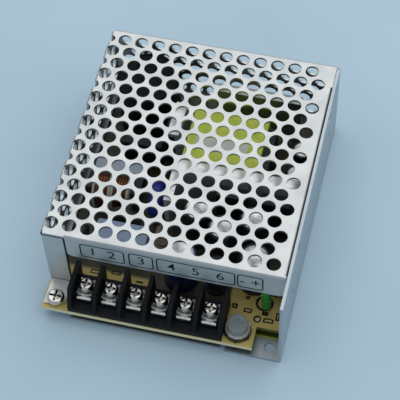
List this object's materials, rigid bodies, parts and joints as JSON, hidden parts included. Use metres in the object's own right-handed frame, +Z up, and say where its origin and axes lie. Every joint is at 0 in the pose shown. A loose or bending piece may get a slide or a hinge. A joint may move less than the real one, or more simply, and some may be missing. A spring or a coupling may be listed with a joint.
{
  "type": "enclosed switching power supply",
  "caption": "Mains power supply in a folded perforated metal case, with a screw terminal block, output trimmer and indicator lamp at one end.",
  "frame": {"origin": "middle of the footprint on the plane that the case rests on", "axes": "+Z up, +Y along the case away from the terminal end, +X to the right as seen from the terminal end"},
  "size_m": [0.082, 0.099, 0.035],
  "materials": {
    "board_laminate": "tan laminate under clear lacquer",
    "bobbin_dark": "dark moulding",
    "bobbin_grey": "pale moulded bobbin",
    "contact_nickel": "nickel-plated sheet",
    "copper_wire": "enamelled copper wire",
    "cover_steel": "satin galvanised sheet",
    "disc_blue": "dipped deep blue",
    "disc_brown": "dipped coating",
    "disc_dark": "dark dipped coating",
    "ferrite": "sintered dark grey",
    "film_capacitor": "pale lavender-grey case",
    "film_clear": "translucent film",
    "fuse_brown": "dark moulded case",
    "heatsink_aluminium": "bright sheet",
    "lamp_green": "green tinted lens",
    "lamp_green_sleeve": "green moulded sleeve",
    "package_black": "moulded epoxy",
    "resistor_coat": "grey-beige coating",
    "screw_steel": "bright nickel plate",
    "sleeve_black": "shrink sleeve",
    "sleeve_blue": "dark blue sleeve",
    "sleeve_dark": "dark sleeve, bare metal top",
    "standoff_steel": "plain turned steel",
    "tape_yellow": "yellow polyester tape",
    "terminal_black": "moulded black, low gloss",
    "trimmer_dark": "dark moulding",
    "trimmer_grey": "grey moulding",
    "trimmer_metal": "bright stamped metal",
    "wall_aluminium": "satin sheet metal, cool grey",
    "washer_steel": "spring steel, plated"
  },
  "bodies": {
    "case": {"board_screws": "screw_steel", "board_standoffs": "standoff_steel", "bridge_rectifier": "package_black", "bulk_capacitor": "sleeve_black", "chassis": "wall_aluminium", "choke_bobbin": "bobbin_grey", "choke_core": "ferrite", "choke_windings": "copper_wire", "circuit_board": "board_laminate", "controller_chip": "package_black", "cover": "cover_steel", "cover_side_screws": "screw_steel", "disc_capacitor": "disc_blue", "filter_capacitor": "sleeve_blue", "fuse": "fuse_brown", "indicator_lamp": "lamp_green", "inrush_thermistor": "disc_brown", "insulating_film": "film_clear", "lamp_sleeve": "lamp_green_sleeve", "optocoupler": "package_black", "output_capacitor_1": "sleeve_dark", "output_capacitor_2": "sleeve_dark", "output_capacitor_3": "sleeve_dark", "output_capacitor_4": "sleeve_dark", "output_choke": "ferrite", "output_diodes": "package_black", "primary_heatsink": "heatsink_aluminium", "rear_heatsink": "heatsink_aluminium", "resistors": "resistor_coat", "secondary_heatsink": "heatsink_aluminium", "small_capacitors": "sleeve_dark", "switching_transistor": "package_black", "terminal_contacts": "contact_nickel", "terminal_housing": "terminal_black", "transformer_bobbin": "bobbin_dark", "transformer_core": "ferrite", "transformer_winding": "tape_yellow", "trimmer_base": "trimmer_dark", "varistor": "disc_dark", "x_capacitor": "film_capacitor"},
    "clamp_1": {"terminal_clamp_1": "contact_nickel", "spring_washer_1": "washer_steel"},
    "screw_1": {"terminal_screw_1": "screw_steel"},
    "clamp_2": {"terminal_clamp_2": "contact_nickel", "spring_washer_2": "washer_steel"},
    "screw_2": {"terminal_screw_2": "screw_steel"},
    "clamp_3": {"terminal_clamp_3": "contact_nickel", "spring_washer_3": "washer_steel"},
    "screw_3": {"terminal_screw_3": "screw_steel"},
    "clamp_4": {"terminal_clamp_4": "contact_nickel", "spring_washer_4": "washer_steel"},
    "screw_4": {"terminal_screw_4": "screw_steel"},
    "clamp_5": {"terminal_clamp_5": "contact_nickel", "spring_washer_5": "washer_steel"},
    "screw_5": {"terminal_screw_5": "screw_steel"},
    "clamp_6": {"terminal_clamp_6": "contact_nickel", "spring_washer_6": "washer_steel"},
    "screw_6": {"terminal_screw_6": "screw_steel"},
    "trimmer": {"trimmer_skirt": "trimmer_metal", "trimmer_cap": "trimmer_grey"}
  },
  "joints": [
    {"name": "clamp_lift_1", "type": "slide", "parent": "case", "child": "clamp_1", "axis": [0, 0, 1], "range_m": [0, 0.002]},
    {"name": "screw_turn_1", "type": "hinge", "parent": "clamp_1", "child": "screw_1", "pos_m": [-0.02645, -0.042, 0.012], "axis": [0, 0, 1], "range_deg": [0, 1440]},
    {"name": "clamp_lift_2", "type": "slide", "parent": "case", "child": "clamp_2", "axis": [0, 0, 1], "range_m": [0, 0.002]},
    {"name": "screw_turn_2", "type": "hinge", "parent": "clamp_2", "child": "screw_2", "pos_m": [-0.01795, -0.042, 0.012], "axis": [0, 0, 1], "range_deg": [0, 1440]},
    {"name": "clamp_lift_3", "type": "slide", "parent": "case", "child": "clamp_3", "axis": [0, 0, 1], "range_m": [0, 0.002]},
    {"name": "screw_turn_3", "type": "hinge", "parent": "clamp_3", "child": "screw_3", "pos_m": [-0.00945, -0.042, 0.012], "axis": [0, 0, 1], "range_deg": [0, 1440]},
    {"name": "clamp_lift_4", "type": "slide", "parent": "case", "child": "clamp_4", "axis": [0, 0, 1], "range_m": [0, 0.002]},
    {"name": "screw_turn_4", "type": "hinge", "parent": "clamp_4", "child": "screw_4", "pos_m": [-0.00095, -0.042, 0.012], "axis": [0, 0, 1], "range_deg": [0, 1440]},
    {"name": "clamp_lift_5", "type": "slide", "parent": "case", "child": "clamp_5", "axis": [0, 0, 1], "range_m": [0, 0.002]},
    {"name": "screw_turn_5", "type": "hinge", "parent": "clamp_5", "child": "screw_5", "pos_m": [0.00755, -0.042, 0.012], "axis": [0, 0, 1], "range_deg": [0, 1440]},
    {"name": "clamp_lift_6", "type": "slide", "parent": "case", "child": "clamp_6", "axis": [0, 0, 1], "range_m": [0, 0.002]},
    {"name": "screw_turn_6", "type": "hinge", "parent": "clamp_6", "child": "screw_6", "pos_m": [0.01605, -0.042, 0.012], "axis": [0, 0, 1], "range_deg": [0, 1440]},
    {"name": "trimmer_turn", "type": "hinge", "parent": "case", "child": "trimmer", "pos_m": [0.0254, -0.0442, 0.0086], "axis": [0, 0, 1], "range_deg": [-135, 135]}
  ],
  "couplings": [
    {"joint": "screw_turn_1", "follows": "clamp_lift_1", "rad_per_m": 12566},
    {"joint": "screw_turn_2", "follows": "clamp_lift_2", "rad_per_m": 12566},
    {"joint": "screw_turn_3", "follows": "clamp_lift_3", "rad_per_m": 12566},
    {"joint": "screw_turn_4", "follows": "clamp_lift_4", "rad_per_m": 12566},
    {"joint": "screw_turn_5", "follows": "clamp_lift_5", "rad_per_m": 12566},
    {"joint": "screw_turn_6", "follows": "clamp_lift_6", "rad_per_m": 12566}
  ]
}
